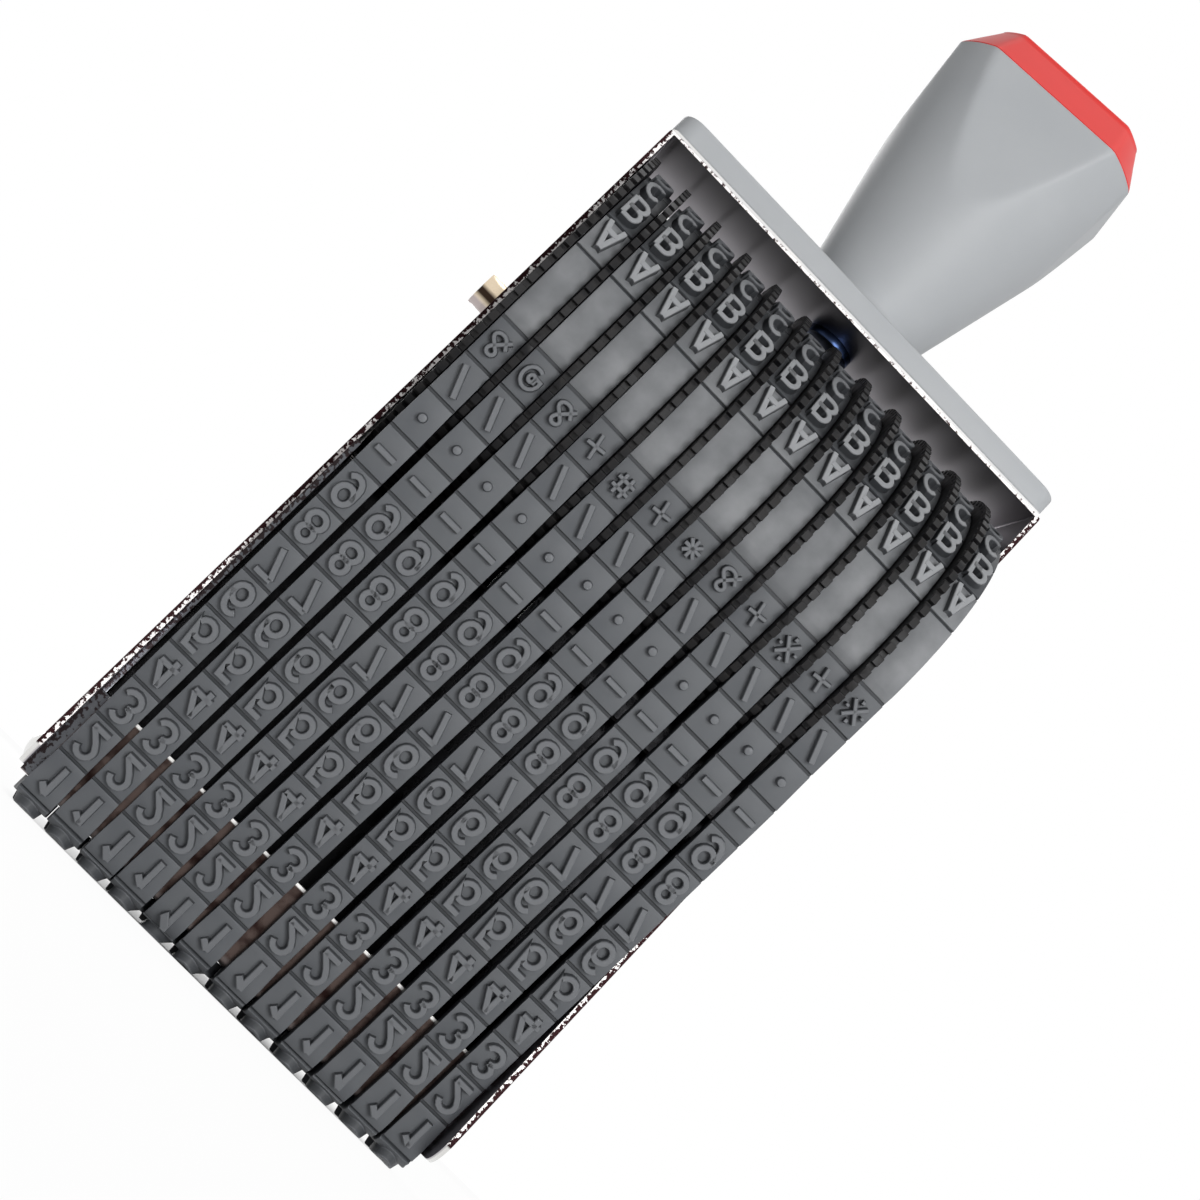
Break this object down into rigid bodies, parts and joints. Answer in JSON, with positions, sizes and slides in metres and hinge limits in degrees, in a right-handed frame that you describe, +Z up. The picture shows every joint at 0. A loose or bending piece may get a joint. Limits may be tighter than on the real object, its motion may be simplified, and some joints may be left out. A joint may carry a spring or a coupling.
{
  "type": "roller stamp",
  "caption": "Hand roller stamp: a bent steel frame with a flared plastic handle carries rubber type bands that run from toothed setting wheels round a steel platen at the print end.",
  "frame": {"origin": "centre of the row of type faces that meets the paper", "axes": "+Z up along the handle, X along the wheel axle, front at -Y, where the digits are read"},
  "size_m": [0.0796, 0.059, 0.1743],
  "materials": {
    "frame_steel": "bright nickel plate",
    "platen_steel": "plain bright sheet",
    "axle_metal": "dull plated",
    "screw_steel": "blued zinc",
    "wheel_plastic": "black moulded",
    "band_rubber": "matte moulded type",
    "handle_plastic": "satin moulded",
    "cap_plastic": "satin moulded"
  },
  "bodies": {
    "stamp": {"frame": "frame_steel", "platen": "platen_steel", "platen_rivets": "frame_steel", "axle": "axle_metal", "axle_nut": "axle_metal", "axle_washers": "platen_steel", "handle": "handle_plastic", "handle_screw": "screw_steel", "cap": "cap_plastic", "type_band_01": "band_rubber", "type_band_02": "band_rubber", "type_band_03": "band_rubber", "type_band_04": "band_rubber", "type_band_05": "band_rubber", "type_band_06": "band_rubber", "type_band_07": "band_rubber", "type_band_08": "band_rubber", "type_band_09": "band_rubber", "type_band_10": "band_rubber", "type_band_11": "band_rubber", "type_band_12": "band_rubber"},
    "wheel_01": {"setting_wheel_01": "wheel_plastic"},
    "wheel_02": {"setting_wheel_02": "wheel_plastic"},
    "wheel_03": {"setting_wheel_03": "wheel_plastic"},
    "wheel_04": {"setting_wheel_04": "wheel_plastic"},
    "wheel_05": {"setting_wheel_05": "wheel_plastic"},
    "wheel_06": {"setting_wheel_06": "wheel_plastic"},
    "wheel_07": {"setting_wheel_07": "wheel_plastic"},
    "wheel_08": {"setting_wheel_08": "wheel_plastic"},
    "wheel_09": {"setting_wheel_09": "wheel_plastic"},
    "wheel_10": {"setting_wheel_10": "wheel_plastic"},
    "wheel_11": {"setting_wheel_11": "wheel_plastic"},
    "wheel_12": {"setting_wheel_12": "wheel_plastic"}
  },
  "joints": [
    {"name": "wheel_01_turn", "type": "hinge", "parent": "stamp", "child": "wheel_01", "pos_m": [-0.03284, 0, 0.093], "axis": [1, 0, 0], "continuous": true},
    {"name": "wheel_02_turn", "type": "hinge", "parent": "stamp", "child": "wheel_02", "pos_m": [-0.02686, 0, 0.093], "axis": [1, 0, 0], "continuous": true},
    {"name": "wheel_03_turn", "type": "hinge", "parent": "stamp", "child": "wheel_03", "pos_m": [-0.0209, 0, 0.093], "axis": [1, 0, 0], "continuous": true},
    {"name": "wheel_04_turn", "type": "hinge", "parent": "stamp", "child": "wheel_04", "pos_m": [-0.01493, 0, 0.093], "axis": [1, 0, 0], "continuous": true},
    {"name": "wheel_05_turn", "type": "hinge", "parent": "stamp", "child": "wheel_05", "pos_m": [-0.00895, 0, 0.093], "axis": [1, 0, 0], "continuous": true},
    {"name": "wheel_06_turn", "type": "hinge", "parent": "stamp", "child": "wheel_06", "pos_m": [-0.00298, 0, 0.093], "axis": [1, 0, 0], "continuous": true},
    {"name": "wheel_07_turn", "type": "hinge", "parent": "stamp", "child": "wheel_07", "pos_m": [0.00298, 0, 0.093], "axis": [1, 0, 0], "continuous": true},
    {"name": "wheel_08_turn", "type": "hinge", "parent": "stamp", "child": "wheel_08", "pos_m": [0.00895, 0, 0.093], "axis": [1, 0, 0], "continuous": true},
    {"name": "wheel_09_turn", "type": "hinge", "parent": "stamp", "child": "wheel_09", "pos_m": [0.01493, 0, 0.093], "axis": [1, 0, 0], "continuous": true},
    {"name": "wheel_10_turn", "type": "hinge", "parent": "stamp", "child": "wheel_10", "pos_m": [0.0209, 0, 0.093], "axis": [1, 0, 0], "continuous": true},
    {"name": "wheel_11_turn", "type": "hinge", "parent": "stamp", "child": "wheel_11", "pos_m": [0.02686, 0, 0.093], "axis": [1, 0, 0], "continuous": true},
    {"name": "wheel_12_turn", "type": "hinge", "parent": "stamp", "child": "wheel_12", "pos_m": [0.03284, 0, 0.093], "axis": [1, 0, 0], "continuous": true}
  ]
}
